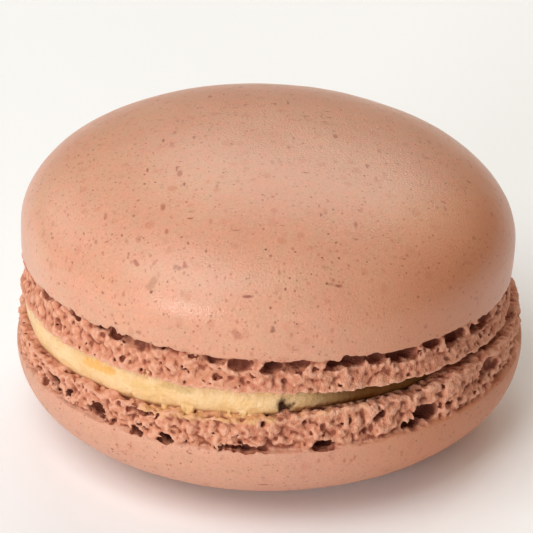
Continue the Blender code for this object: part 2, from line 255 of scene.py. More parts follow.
# Distance to the host mesh's points, one size of bubble at a time, less their radius
def bubbleField(tree, points, place, sizes, blend, firstClass=0):
    sizeClass = addNode(tree, "GeometryNodeInputNamedAttribute", {"data_type": "INT"}, {
        "Name": "sizeClass"}).outputs[0]
    field = None
    for index, size in enumerate(sizes):
        same = addNode(tree, "FunctionNodeCompare", {"data_type": "INT", "operation": "EQUAL"}, {
            2: sizeClass, 3: firstClass + index})
        kept = addNode(tree, "GeometryNodeSeparateGeometry", values={0: points, 1: same.outputs[0]})
        away = calc(tree, "SUBTRACT", distanceTo(tree, kept.outputs[0], place), size)
        field = away if field is None else calc(tree, "SMOOTH_MIN", field, away, blend)
    return field


# Meshes a block of values, stores its mask, trims it, rolls it up and sews its seam at the back
def rolledSurface(tree, given, value, mask, outside, place, rolled):
    block = addNode(tree, "GeometryNodeVolumeCube", values={
        "Density": value, "Background": -1.0, "Min": given["boxLow"], "Max": given["boxHigh"],
        "Resolution X": given["cellsX"], "Resolution Y": given["cellsY"], "Resolution Z": given["cellsZ"]})
    surface = addNode(tree, "GeometryNodeVolumeToMesh", values={
        "Volume": block.outputs[0], "Threshold": 0.0})
    marked = addNode(tree, "GeometryNodeStoreNamedAttribute", {"data_type": "FLOAT", "domain": "POINT"}, {
        "Geometry": surface.outputs[0], "Name": "crumb", "Value": mask})
    # the small shift keeps one of the two columns that lie on the seam
    pastSeam = calc(tree, "ABSOLUTE", calc(tree, "ADD", place.outputs[0], 0.03))
    pastSeam = calc(tree, "GREATER_THAN", pastSeam, given["halfTurn"])
    trimmed = addNode(tree, "GeometryNodeDeleteGeometry", {"domain": "FACE"}, {
        0: marked.outputs[0], 1: calc(tree, "GREATER_THAN", calc(tree, "ADD", pastSeam, outside), 0.5)})
    rolledUp = addNode(tree, "GeometryNodeSetPosition", values={
        "Geometry": trimmed.outputs[0], "Position": rolled})
    behind = calc(tree, "MULTIPLY", calc(tree, "LESS_THAN", calc(tree, "ABSOLUTE", place.outputs[0]), 0.5),
                  calc(tree, "GREATER_THAN", place.outputs[1], 0.0))
    joined = addNode(tree, "GeometryNodeMergeByDistance", values={
        "Geometry": rolledUp.outputs[0], "Selection": behind, "Distance": 0.008})
    real = addNode(tree, "GeometryNodeRealizeInstances", values={0: joined.outputs[0]})
    finished = addNode(tree, "GeometryNodeSetMaterial", values={
        0: real.outputs[0], "Material": given["material"]})
    addNode(tree, "NodeGroupOutput", values={0: finished.outputs[0]})


# The trees' inputs bear the names that the dictionaries of the pieces and boxOf give them
boxInputs = [
    ("Geometry", "Geometry"), ("boxLow", "Vector"), ("boxHigh", "Vector"), ("cellsX", "Int"),
    ("cellsY", "Int"), ("cellsZ", "Int"), ("halfTurn", "Float"), ("material", "Material"), ("seed", "Int")]
footInputs = [(label, "Float") for label in (
    "radius", "rimRadius", "rimDrop", "rimWave", "footRadius", "footFlare", "footDrop", "faceDrop",
    "edgeWave", "lumpDepth", "crevice", "poreAmount", "cutDrop", "innerRadius")]
creamInputs = [(label, "Float") for label in ("radius", "bulge", "ripple", "grip", "innerRadius")]
surfaceOutput = [("Geometry", "Geometry")]


# Layers of the crumb's relief on its wall and on its flat edge: pattern, scale, weight, detail
wallLayers = ((ripple, 0.4, 1.0), (puffs, 0.9, 0.55), (puffs, 2.0, 0.42), (ripple, 3.6, 0.3))
edgeLayers = ((puffs, 0.9, 0.5), (puffs, 2.0, 0.3), (ripple, 0.6, 1.2, 3.0))


def layered(tree, place, layers):
    total = 0.0
    for pattern, scale, weight, *detail in layers:
        total = calc(tree, "MULTIPLY_ADD", pattern(tree, place, scale, *detail), weight, total)
    return total


# A foot as an open foam: an unrolled block of values, meshed and then rolled up
def footTree():
    tree, given = newTree("macaronFoot", "Geometry", boxInputs + footInputs, surfaceOutput)
    plus, minus, times, sums = sumsOf(tree)
    rimDrop, footDrop, faceDrop, cutDrop, inner = (
        given[label] for label in ("rimDrop", "footDrop", "faceDrop", "cutDrop", "innerRadius"))
    place, radius, roll = rolledFields(tree)
    drop = times(place.outputs[2], -1.0)
    rolled = roll(radius, place.outputs[2])
    nudge = upward(tree, times(given["seed"], 3.7))
    bend = noiseOf(tree, vectorCalc(tree, "ADD", rolled, nudge), 0.9, 1.0, "Color")
    bend = vectorCalc(tree, "SCALE", vectorCalc(tree, "SUBTRACT", bend, (0.5, 0.5, 0.5)), 0.55)
    nudge = vectorCalc(tree, "ADD", nudge, bend)
    onWall = vectorCalc(tree, "ADD", roll(wrapRadius, place.outputs[2]), nudge)
    onTop = vectorCalc(tree, "ADD", roll(radius, 0.0), nudge)

    # the skin, down to its wavy edge
    rimLine = sums("MULTIPLY_ADD", ripple(tree, onWall, 0.8, 2.0), given["rimWave"], rimDrop)
    tuck = minus(given["radius"], given["rimRadius"])
    rimPart = sums("DIVIDE", drop, rimDrop)
    skinRadius = minus(given["radius"], times(tuck, times(rimPart, rimPart)))
    skin = sums("SMOOTH_MIN", minus(rimLine, drop), minus(skinRadius, radius), 0.16)

    # the crumb below it: coarse lumps, rounded puffs and fine grain
    flare = sums("POWER", mapped(tree, drop, rimDrop, footDrop, smooth=False), 4.0)
    relief = sums("MAXIMUM", layered(tree, onWall, wallLayers), 0.0)
    relief = times(relief, sums("MULTIPLY_ADD", flare, -0.55, 1.0))
    under = minus(minus(drop, rimLine), 0.22)     # from the middle of the crevice below the rim
    groove = sums("EXPONENT", times(times(under, under), -22.0))
    groove = times(groove, mapped(tree, ripple(tree, onWall, 0.32, 1.0), -0.14, 0.12))
    footRadius = sums("MULTIPLY_ADD", given["footFlare"], flare, given["footRadius"])
    footRadius = minus(footRadius, times(relief, given["lumpDepth"]))
    footRadius = minus(footRadius, times(groove, given["crevice"]))
    fade = mapped(tree, minus(radius, inner), 0.05, 0.7)
    topRelief = minus(layered(tree, onTop, edgeLayers), 0.22)
    edgeLine = mapped(tree, radius, faceInner, faceOuter, faceDrop, footDrop)
    edgeLine = minus(edgeLine, times(times(topRelief, fade), given["edgeWave"]))
    crumb = sums("SMOOTH_MIN", minus(edgeLine, drop), minus(footRadius, radius), 0.12)
    solid = sums("MAXIMUM", skin, crumb)

    # the holes of the host mesh, and pores strewn over the foot
    rough = ripple(tree, rolled, 1.6, 2.0)
    hollow = bubbleField(tree, given["Geometry"], rolled, bubbleSizes, 0.12)
    hollow = sums("MULTIPLY_ADD", rough, 0.4, hollow)
    middle = times(plus(rimDrop, footDrop), -0.5)
    ribbon = addNode(tree, "GeometryNodeMeshCylinder", {"fill_type": "NONE"}, {
        "Vertices": 128, "Radius": given["footRadius"],
        "Depth": minus(minus(footDrop, rimDrop), 0.5)})
    ribbon = addNode(tree, "GeometryNodeTransform", values={
        "Geometry": ribbon.outputs[0], "Translation": upward(tree, middle)})
    lid = addNode(tree, "GeometryNodeMeshCircle", {"fill_type": "TRIANGLE_FAN"}, {
        "Vertices": 64, "Radius": given["footRadius"]})
    lid = addNode(tree, "GeometryNodeTransform", values={
        "Geometry": lid.outputs[0], "Rotation": (math.pi, 0.0, 0.0),
        "Translation": upward(tree, times(footDrop, -1.0))})
    both = tree.nodes.new("GeometryNodeJoinGeometry")
    tree.links.new(ribbon.outputs[0], both.inputs[0])
    tree.links.new(lid.outputs[0], both.inputs[0])
    for index, (size, amount) in enumerate(poreSizes):
        strewn = addNode(tree, "GeometryNodeDistributePointsOnFaces", values={
            "Mesh": both.outputs[0], "Density": times(given["poreAmount"], amount),
            "Seed": plus(given["seed"], float(index))})
        inward = addNode(tree, "FunctionNodeRandomValue", {"data_type": "FLOAT"}, {
            2: -0.75, 3: -0.1, "Seed": index})
        moved = addNode(tree, "GeometryNodeSetPosition", values={
            "Geometry": strewn.outputs[0],
            "Offset": vectorCalc(tree, "SCALE", strewn.outputs["Normal"], inward.outputs[1])})
        away = minus(distanceTo(tree, moved.outputs[0], rolled), size)
        away = sums("MULTIPLY_ADD", rough, 0.2, away)
        hollow = sums("MINIMUM", hollow, away)

    # no hollow reaches the block's cuts, so that its two open edges stay whole
    nearFace = sums("MINIMUM", minus(plus(inner, 0.2), radius),
                    minus(drop, minus(faceDrop, 0.6)))
    nearWall = minus(minus(inner, 0.55), radius)
    nearCut = minus(plus(cutDrop, 0.25), drop)
    hollow = sums("MAXIMUM", sums("MAXIMUM", hollow, nearCut), sums("MAXIMUM", nearFace, nearWall))

    mask = sums("MAXIMUM", mapped(tree, hollow, 0.12, 0.04), mapped(tree, skin, -0.03, -0.2))
    innerWall = sums("LESS_THAN", radius, minus(inner, 0.7))
    onFace = times(sums("LESS_THAN", radius, inner),
                  sums("GREATER_THAN", drop, minus(faceDrop, 0.4)))
    outside = plus(sums("LESS_THAN", drop, cutDrop), plus(innerWall, onFace))
    rolledSurface(tree, given, sums("MINIMUM", solid, hollow), mask, outside, place, rolled)
    return tree


# The cream's rim, in an even ring of heights -1 to 1, with the host mesh's blobs and pits
def creamTree():
    tree, given = newTree("creamRim", "Geometry", boxInputs + creamInputs, surfaceOutput)
    plus, minus, times, sums = sumsOf(tree)
    place, radius, roll = rolledFields(tree)
    level = place.outputs[2]
    rolled = roll(radius, level)
    wave = plus(ripple(tree, rolled, 0.3, 1.0), times(ripple(tree, rolled, 1.6, 2.0), 0.35))
    belly = times(times(level, level), given["bulge"])
    reach = minus(given["radius"], belly)
    reach = sums("MULTIPLY_ADD", wave, given["ripple"], reach)
    half = plus(given["grip"], 1.0)
    body = sums("SMOOTH_MIN", minus(half, sums("ABSOLUTE", level)), minus(reach, radius), 0.12)
    blobs = times(bubbleField(tree, given["Geometry"], rolled, blobSizes, 0.1), -1.0)
    pits = bubbleField(tree, given["Geometry"], rolled, pitSizes, 0.05, len(blobSizes))
    grain = times(ripple(tree, rolled, 3.0, 2.0), 0.3)
    blobs = plus(blobs, grain)
    value = sums("SMOOTH_MAX", body, blobs, 0.1)
    pits = sums("MULTIPLY_ADD", ripple(tree, rolled, 2.5, 1.0), 0.3, pits)
    nearWall = minus(plus(given["innerRadius"], 0.4), radius)
    value = sums("MINIMUM", value, sums("MAXIMUM", pits, nearWall))
    mask = times(mapped(tree, body, -0.02, -0.12), mapped(tree, level, -0.6, -1.0))     # the smears below
    innerWall = sums("LESS_THAN", radius, minus(given["innerRadius"], 0.35))
    onFace = times(sums("LESS_THAN", radius, given["innerRadius"]),
                  sums("GREATER_THAN", sums("ABSOLUTE", level), minus(half, 0.2)))
    rolledSurface(tree, given, value, mask, plus(innerWall, onFace), place, rolled)
    return tree


# A mesh of points with the index of each one's size
def pointHost(name, places, classes, sizeCount):
    for size in range(sizeCount):
        if size not in classes:
            places.append((0.0, 0.0, 0.0))
            classes.append(size)
    host = bpy.data.meshes.new(name)
    host.from_pydata(places, [], [])
    host.attributes.new("sizeClass", "INT", "POINT").data.foreach_set("value", classes)
    return host


def onRing(reach, turn, height):
    return reach * math.sin(turn), -reach * math.cos(turn), height


# Each hole as overlapping bubbles
def bubblesOf(shell, holes):
    draw = random.Random(shell["seed"])
    holes = list(holes)
    step = (hiddenHoles["to"] - hiddenHoles["from"]) / hiddenHoles["count"]
    for index in range(hiddenHoles["count"]):
        azimuth = hiddenHoles["from"] + step * (index + draw.uniform(0.15, 0.85))
        level = shell["rimDrop"] + 0.35 + draw.choice((0.0, 0.1, 0.3, 1.0)) + draw.uniform(-0.1, 0.3)
        wide, tall, deep = draw.uniform(0.7, 2.8), draw.uniform(0.6, 1.5), draw.uniform(0.8, 1.9)
        holes.append((azimuth, wide, level, tall, deep))
    places, classes = [], []
    for azimuth, width, drop, height, depth in holes:
        outer = shell["footRadius"] - 0.1
        count = max(2, round(width / 0.42))
        for index in range(count):
            along = ((index + 0.5) / count - 0.5) * width + draw.uniform(-0.1, 0.1)
            taper = math.sqrt(max(0.15, 1.0 - (2.0 * along / (width + 0.3)) ** 2))
            tall = max(0.2, height * 0.5 * taper * draw.uniform(0.8, 1.15))
            size = min(range(len(bubbleSizes)), key=lambda k: abs(bubbleSizes[k] - tall))
            inner = max(bubbleSizes[size] * 0.3, depth * taper - bubbleSizes[size])
            steps = max(1, round(inner / 0.35))
            for deep in range(steps):
                reach = outer - inner * (deep + 1.0) / steps + draw.uniform(-0.05, 0.05)
                turn = math.radians(azimuth) + along / reach
                level = drop + draw.uniform(-0.14, 0.14) * height
                places.append(onRing(reach, turn, -level))
                classes.append(size)
    return pointHost("holeBubbles", places, classes, len(bubbleSizes))


blobSizes = (0.26, 0.19, 0.13)
pitSizes = (0.4, 0.26, 0.15)

# Notches and pits in the cream: azimuth, level, size class, how deep its middle lies
creamPits = (
    (3.4, -1.0, 0, 0.0), (3.4, -1.0, 0, 0.5), (3.1, -0.55, 0, 0.2), (3.6, -0.5, 0, 0.5),
    (2.8, -0.15, 1, 0.1), (3.9, -0.75, 1, 0.1), (-56.6, 0.1, 1, -0.12), (-57.6, -0.1, 2, -0.03),
    (-29, 0.75, 1, 0.0), (-33, -0.95, 1, 0.1), (-20, 0.7, 2, 0.0), (-63, -0.3, 2, -0.06),
    (-12, 0.2, 2, -0.08), (8, -0.9, 1, 0.1), (11, -0.95, 1, 0.2), (-49, -0.55, 2, -0.04),
    (-37, 0.1, 2, -0.06), (-5, -0.2, 2, -0.08),
)


# Smears of cream that hang over the lower foot: from and to azimuth, patches, lowest level, how far out
creamSmears = (
    (-27, -17, 4, -1.5, 0.1), (-18, -8, 4, -1.45, 0.12), (-9, 2.5, 5, -1.6, 0.14),
    (-53, -36, 5, 1.1, 0.1), (-30, -20, 3, 1.08, 0.1), (-8, 14, 4, 1.05, 0.05),
)


def blobsOfCream():
    draw = random.Random(cream["seed"])
    places, classes = [], []
    for start, end, patches, lowest, proud in creamSmears:
        for _ in range(patches):
            middle = draw.uniform(start, end)
            depth = draw.uniform(lowest, math.copysign(1.0, lowest))
            wide = draw.uniform(0.7, 1.9)
            for index in range(round(wide * 6)):
                azimuth = middle + draw.gauss(0.0, wide)
                level = depth + draw.gauss(0.0, 0.1)
                size = draw.choice((0, 1, 2, 2, 2))
                reach = cream["radius"] + proud - draw.uniform(0.0, 0.25) - blobSizes[size] * 0.6
                turn = math.radians(azimuth)
                places.append(onRing(reach, turn, level))
                classes.append(size)
    for azimuth, level, size, deep in creamPits:
        reach, turn = cream["radius"] - deep, math.radians(azimuth)
        places.append(onRing(reach, turn, level))
        classes.append(len(blobSizes) + size)
    return pointHost("creamBlobs", places, classes, len(blobSizes) + len(pitSizes))


# The block's corners and cell counts, so that its columns meet at the back
def boxOf(inner, outer, low, high, columns):
    cell = math.tau * wrapRadius / columns
    half = math.pi * wrapRadius + 2.0 * cell
    layers = math.ceil((outer - inner) / cell)
    rows = math.ceil((high - low) / cell)
    return {
        "boxLow": (-half, -(inner + layers * cell), high - rows * cell), "boxHigh": (half, -inner, high),
        "cellsX": columns + 5, "cellsY": layers + 1, "cellsZ": rows + 1, "halfTurn": math.pi * wrapRadius}


def valuesOf(items, field, kind=int, width=1):
    values = np.zeros(len(items) * width, kind)
    items.foreach_get(field, values)
    return values


def meshArrays(mesh):
    points = valuesOf(mesh.vertices, "co", float, 3).reshape(-1, 3)
    mask = valuesOf(mesh.attributes["crumb"].data, "value", float)
    starts, totals = (valuesOf(mesh.polygons, "loop_" + field) for field in ("start", "total"))
    corners = valuesOf(mesh.loops, "vertex_index")
    quads = corners[starts[totals == 4][:, None] + np.arange(4)]
    triangles = corners[starts[totals == 3][:, None] + np.arange(3)]
    return points, mask, quads, triangles


def edgePairs(quads, triangles):
    sides = [quads[:, [a, (a + 1) % 4]] for a in range(4)]
    sides += [triangles[:, [a, (a + 1) % 3]] for a in range(3)]
    return np.concatenate(sides)


# Drops the scraps and shut bubbles that don't hang together with the largest surface
def mainBody(points, mask, quads, triangles):
    sides = edgePairs(quads, triangles)
    label = np.arange(len(points))
    while True:
        low = np.minimum(label[sides[:, 0]], label[sides[:, 1]])
        before = label.copy()
        np.minimum.at(label, sides[:, 0], low)
        np.minimum.at(label, sides[:, 1], low)
        label = label[label]
        if (label == before).all():
            break
    names, sizes = np.unique(label, return_counts=True)
    kept = label == names[sizes.argmax()]
    index = np.cumsum(kept) - 1
    quads, triangles = (index[faces[kept[faces[:, 0]]]] for faces in (quads, triangles))
    return points[kept], mask[kept], quads, triangles


# How far each point lies under the smoothed surface round it: above 0 in creases, below 0 on tips
def creaseOf(points, quads, triangles):
    pairs = edgePairs(quads, triangles)
    pairs = np.concatenate([pairs, pairs[:, ::-1]])
    counts = np.bincount(pairs[:, 0], minlength=len(points))
    normals = np.zeros_like(points)
    for faces, turn in ((quads, (0, 2, 1, 3)), (triangles, (0, 1, 0, 2))):
        a, b, c, d = (points[faces[:, k]] for k in turn)
        across = np.cross(b - a, d - c)
        for column in range(faces.shape[1]):
            for axis in range(3):
                normals[:, axis] += np.bincount(faces[:, column], across[:, axis], len(points))
    normals /= np.maximum(np.linalg.norm(normals, axis=1), 1e-9)[:, None]
    smoothed = points.copy()
    for step in range(10):
        total = [np.bincount(pairs[:, 0], smoothed[pairs[:, 1], axis], len(points)) for axis in range(3)]
        smoothed = np.stack(total, 1) / np.maximum(counts, 1)[:, None]
    return ((smoothed - points) * normals).sum(1)


# The vertices on open edges, split by height into two loops in order of azimuth
def openLoops(points, quads, triangles, split):
    pairs, counts = np.unique(np.sort(edgePairs(quads, triangles), axis=1), axis=0, return_counts=True)
    rim = np.unique(pairs[counts == 1])
    rim = rim[np.argsort(np.arctan2(points[rim, 0], -points[rim, 1]))]
    high = points[rim, 2] > split
    return rim[high], rim[~high]


# Triangles between two rings of vertex numbers, the second as long as the first or half as long
def fanRows(first, second):
    count, half = len(first), len(second)
    faces = []
    if half == count:
        for i in range(count):
            j = (i + 1) % count
            faces.append((first[i], first[j], second[j], second[i]))
        return faces
    for i in range(half):
        j = (i + 1) % half
        a, b, c = first[2 * i], first[2 * i + 1], first[(2 * i + 2) % count]
        faces += [(a, b, second[i]), (b, second[j], second[i]), (b, c, second[j])]
    return faces


# Adds rings of radius and height from an open loop to the axis, with fewer columns further in
def closeWithRings(points, faces, loop, rings, upward, finest):
    numbers = list(loop)
    columns = np.arctan2(points[loop, 0], -points[loop, 1])
    added = [points]
    total = len(points)
    for radius, height in rings:
        if len(columns) > finest or len(columns) * 0.36 > math.tau * max(radius, 2.0):
            columns = columns[::2]
        across = [radius * np.sin(columns), -radius * np.cos(columns)]
        added.append(np.stack([*across, np.full(len(columns), height)], 1))
        fresh = list(range(total, total + len(columns)))
        rows = fanRows(numbers, fresh)
        faces += rows if upward else [f[::-1] for f in rows]
        total += len(columns)
        numbers = fresh
    added.append(np.array([[0.0, 0.0, rings[-1][1]]]))
    for i in range(len(numbers)):
        face = (numbers[i], numbers[(i + 1) % len(numbers)], total)
        faces.append(face if upward else face[::-1])
    return np.concatenate(added)


def skinRadiusAt(shell, drop):
    return shell["radius"] - (shell["radius"] - shell["rimRadius"]) * (drop / shell["rimDrop"]) ** 2


# Radii and heights from the cut up over the dome
def domeRings(shell):
    count = max(2, round(shell["cutDrop"] / 0.25))
    drops = np.linspace(shell["cutDrop"], 0.0, count + 1)[1:]
    rings = [(skinRadiusAt(shell, drop), -drop) for drop in drops]
    power = 2.0 / shell["squareness"]
    wide = shell["radius"] - shell["flatRadius"]
    angles = np.radians(np.linspace(0.0, 90.0, 2000))
    across = shell["flatRadius"] + wide * np.cos(angles) ** power
    up = shell["domeHeight"] * np.sin(angles) ** power
    along = np.concatenate([[0.0], np.cumsum(np.hypot(np.diff(across), np.diff(up)))])
    steps = np.linspace(0.0, along[-1], shell["domeRows"] + 1)[1:]
    rings += list(zip(np.interp(steps, along, across), np.interp(steps, along, up)))
    inner = rings[-1][0]
    flatCount = max(3, round(inner / 0.9))
    rings += [(inner * (1.0 - k / (flatCount + 1)), shell["domeHeight"]) for k in range(1, flatCount + 1)]
    return rings


def faceRings(shell):
    radii = (20.0, 19.3, 18.4, 17.7, 16.9, faceInner, 12.0, 6.0, 2.0)
    radii = [r for r in radii if r < shell["innerRadius"] - 0.3]
    lift = shell["footDrop"] - shell["faceDrop"]
    return [(r, -shell["faceDrop"] - lift * smoothstep(faceInner, faceOuter, r)) for r in radii]


def keptMesh(name, points, faces, material, attributes):
    mesh = bpy.data.meshes.new(name)
    mesh.from_pydata([tuple(p) for p in points * mm], [], faces)
    for label, values in attributes.items():
        mesh.attributes.new(label, "FLOAT", "POINT").data.foreach_set("value", values.astype(np.float32))
    mesh.shade_smooth()
    mesh.materials.append(material)
    print(name, "triangles", sum(len(p.vertices) - 2 for p in mesh.polygons))
    return placed(name, mesh)


# Dents and slight unevenness of a skin, along its outward direction
def unevenSkin(shell, points, marks, smoothPart):
    outward = points.copy()
    outward[:, 2] *= (shell["radius"] / shell["domeHeight"]) ** 2
    outward /= np.linalg.norm(outward, axis=1)[:, None]
    shift = np.array([
        0.05 * noise.noise(Vector(p) / 6.0 + Vector((shell["seed"], 0.0, 0.0)))
        + 0.018 * noise.noise(Vector(p) / 1.7 + Vector((0.0, shell["seed"], 0.0))) for p in points]) - 0.03
    draw = random.Random(shell["seed"] + 100)
    spots = list(marks)
    for index in range(70):
        turn = draw.uniform(0.0, math.tau)
        far = shell["radius"] * math.sqrt(draw.uniform(0.02, 0.97))
        spots.append((*onRing(far, turn, draw.uniform(0.15, 0.4)), draw.uniform(-0.012, 0.035)))
    for x, y, size, depth in spots:
        near = np.exp(-((points[:, 0] - x) ** 2 + (points[:, 1] - y) ** 2) / size ** 2)
        shift -= depth * near * (points[:, 2] > -0.5)
    return points + outward * (shift * smoothPart)[:, None]


# The arrays of the surface that a tree makes, and its upper and lower open loops
def foamOf(name, tree, host, values, split):
    made = runTree(name, tree, host, values)
    points, mask, quads, triangles = mainBody(*meshArrays(made))
    bpy.data.meshes.remove(made)
    upper, lower = openLoops(points, quads, triangles, split)
    print(name, "foam", len(points), "loops", len(upper), len(lower))
    return points, mask, quads, triangles, upper, lower


# A whole shell: the foamed foot, closed with a smooth dome and a flat face
def makeShell(name, shell, holes, marks, tree, material):
    low, high = -shell["footDrop"] - footMargin["below"], footMargin["above"] - shell["cutDrop"]
    values = boxOf(shell["innerRadius"] - footMargin["inner"], shell["radius"] + footMargin["outer"],
                   low, high, shell["columns"])
    values = {**shell, **values, "material": material}
    points, mask, quads, triangles, upperLoop, lowerLoop = foamOf(
        name, tree, bubblesOf(shell, holes), values, -shell["cutDrop"] - 0.8)
    foamCrease = creaseOf(points, quads, triangles)
    faces = []
    points = closeWithRings(points, faces, upperLoop, domeRings(shell), True, shell["domeColumns"])
    points = closeWithRings(points, faces, lowerLoop, faceRings(shell), False, shell["columns"] // 4)
    crumb, crease = np.zeros(len(points)), np.zeros(len(points))
    crumb[:len(mask)] = mask
    crease[:len(mask)] = foamCrease
    azimuth = np.degrees(np.arctan2(points[:, 0], -points[:, 1]))
    radius = np.hypot(points[:, 0], points[:, 1])
    drop = -points[:, 2]
    onFace = smoothstep(faceInner, faceOuter, radius)
    # deep: how far a crumb point lies inside the foot, for the painted shade that darkens the hollows
    deep = np.minimum(shell["footRadius"] - 0.35 - radius, shell["footDrop"] - 0.1 - drop)
    deep = np.clip(deep / 1.1, 0.0, 1.0) * crumb
    points[:, 2] -= extraDrop(shell, drop, azimuth) * np.where(radius < faceOuter, onFace, 1.0)
    smoothPart = 1.0 - smoothstep(shell["rimDrop"] - 1.2, shell["rimDrop"] - 0.3, drop)
    if shell is lowerShell:
        top = shell["domeHeight"]
        smoothPart = smoothstep(0.1, -0.8, drop) * smoothstep(top, top - 0.3, -drop)
    points = unevenSkin(shell, points, marks, smoothPart)
    allFaces = [tuple(face) for face in (*quads, *triangles)] + faces
    if shell is lowerShell:
        points[:, 2] = np.maximum(shell["widestHeight"] - points[:, 2], 0.0)
        allFaces = [f[::-1] for f in allFaces]
    else:
        points = points @ np.array(upperTurn()).T
        points += np.array([*shell["offset"], shell["widestHeight"]])
    smear = smearOf(shell, points, radius, azimuth) * crumb
    return keptMesh(name, points, allFaces, material, {
        "crumb": crumb, "deep": deep, "crease": crease, "smear": smear})


# Cream wiped over the lower foot's crumb: from and to azimuth, reach below its top edge, strength
wipedCream = ((-30, -12, 0.75, 0.75), (-14, 2, 0.6, 0.8), (5, 22, 0.35, 0.4))


def smearOf(shell, points, radius, azimuth):
    if shell is upperShell:
        return np.zeros(len(points))
    under = lowerFaceHeight(np.full(len(points), faceOuter), azimuth) - points[:, 2]
    patchy = np.array([noise.noise(Vector(p) * 0.9) + 0.6 * noise.noise(Vector(p) * 2.6) for p in points])
    smear = np.zeros(len(points))
    for start, end, reach, strength in wipedCream:
        along = smoothstep(start - 2.0, start + 2.0, azimuth) * smoothstep(end + 2.0, end - 2.0, azimuth)
        down = smoothstep(reach, reach * 0.35, under)
        smear = np.maximum(smear, along * down * strength)
    return smear * smoothstep(-0.25, 0.25, patchy + smear * 0.5 - 0.15)


def upperTurn():
    return Euler([math.radians(a) for a in upperShell["tilt"]] + [0.0], "XYZ").to_matrix()


# Heights of the faces that hold the cream
def lowerFaceHeight(radius, azimuth):
    lift = lowerShell["footDrop"] - lowerShell["faceDrop"] + lowerFootEdge(azimuth)
    middle = lowerShell["widestHeight"] + lowerShell["faceDrop"]
    return middle + lift * smoothstep(faceInner, faceOuter, radius)


def upperFaceHeight(x, y):
    radius = np.hypot(x, y)
    azimuth = np.degrees(np.arctan2(x, -y))
    lift = upperShell["footDrop"] - upperShell["faceDrop"]
    drop = lift + upperFootEdge(azimuth) + upperDroop(azimuth)
    drop = upperShell["faceDrop"] + drop * smoothstep(faceInner, faceOuter, radius)
    turn = np.array(upperTurn())
    return upperShell["widestHeight"] + turn[2, 0] * x + turn[2, 1] * y - turn[2, 2] * drop


def makeCream(tree, material):
    inner = cream["innerRadius"] - creamMargin["inner"]
    values = boxOf(inner, cream["radius"] + creamMargin["outer"],
                   creamMargin["low"], creamMargin["high"], cream["columns"])
    values = {**cream, **values, "material": material}
    points, mask, quads, triangles, upperLoop, lowerLoop = foamOf(
        "cream", tree, blobsOfCream(), values, 0.0)
    faces = []
    height = 1.0 + cream["grip"]
    radii = (inner, 18.5, 16.0, 12.0, 7.0, 2.5)
    rings = [(r, height) for r in radii]
    points = closeWithRings(points, faces, upperLoop, rings, True, cream["columns"] // 4)
    rings = [(r, -height) for r in radii]
    points = closeWithRings(points, faces, lowerLoop, rings, False, cream["columns"] // 4)
    smear = np.zeros(len(points))
    smear[:len(mask)] = mask
    azimuth = np.degrees(np.arctan2(points[:, 0], -points[:, 1]))
    right = np.exp(-(turnBetween(azimuth, cream["recessAzimuth"]) / cream["recessSpread"]) ** 2)
    back = np.exp(-(turnBetween(azimuth, 185.0) / 50.0) ** 2)
    left = np.exp(-(turnBetween(azimuth, cream["leftAzimuth"]) / cream["leftSpread"]) ** 2)
    inset = cream["recess"] * right + cream["backRecess"] * back - cream["leftReach"] * left
    reach = 1.0 - inset / cream["radius"]
    x, y = points[:, 0] * reach, points[:, 1] * reach
    below = lowerFaceHeight(np.hypot(x, y), azimuth)
    above = upperFaceHeight(x, y)
    level = points[:, 2].copy()
    points = np.stack([x, y, below + (above - below) * (level + 1.0) * 0.5], 1)
    allFaces = [tuple(face) for face in (*quads, *triangles)] + faces
    # painted shade: on its right the cream, under the upper foot's overhang, is darkened towards a dark
    # olive brown
    shade = smoothstep(-3.0, 22.0, azimuth) * smoothstep(130.0, 90.0, azimuth) * 0.96
    return keptMesh("cream", points, allFaces, material, {"smear": smear, "level": level, "shade": shade})


# Materials: the patterns are in millimetres on Object coordinates
def groupNode(tree, group, values):
    return addNode(tree, "ShaderNodeGroup", {"node_tree": group}, values).outputs


def mixColor(tree, part, first, second):
    if isinstance(second, tuple):
        second = (*second, 1.0)
    return addNode(tree, "ShaderNodeMix", {"data_type": "RGBA"}, {0: part, 6: first, 7: second}).outputs[2]


def mixValue(tree, part, first, second):
    return addNode(tree, "ShaderNodeMix", {"data_type": "FLOAT"}, {0: part, 2: first, 3: second}).outputs[0]


# Small flecks strewn at random, of uneven size and strength, stretched along one direction
def speckGroup():
    tree, given = newTree("specks", "Shader", [
        ("Vector", "Vector", (0.0, 0.0, 0.0)), ("Turn", "Vector", (0.0, 0.0, 0.0)),
        ("Stretch", "Vector", (1.0, 1.0, 1.0)), ("Scale", "Float", 1.0), ("Reach", "Float", 0.1),
        ("Share", "Float", 0.5)], [("Mask", "Float")])
    laid = addNode(tree, "ShaderNodeMapping", values={
        "Vector": given["Vector"], "Rotation": given["Turn"], "Scale": given["Stretch"]}).outputs[0]
    cells = addNode(tree, "ShaderNodeTexVoronoi", values={"Vector": laid, "Scale": given["Scale"]})
    draws = addNode(tree, "ShaderNodeSeparateColor", values={0: cells.outputs["Color"]})
    size = calc(tree, "MULTIPLY", given["Reach"], calc(tree, "MULTIPLY_ADD", draws.outputs[1], 0.7, 0.3))
    inside = calc(tree, "DIVIDE", cells.outputs["Distance"], size)
    spot = mapped(tree, inside, 1.0, 0.35)
    kept = calc(tree, "LESS_THAN", draws.outputs[0], given["Share"])
    strength = calc(tree, "MULTIPLY_ADD", draws.outputs[2], 0.7, 0.3)
    mask = calc(tree, "MULTIPLY", calc(tree, "MULTIPLY", spot, kept), strength)
    addNode(tree, "NodeGroupOutput", values={0: mask})
    return tree


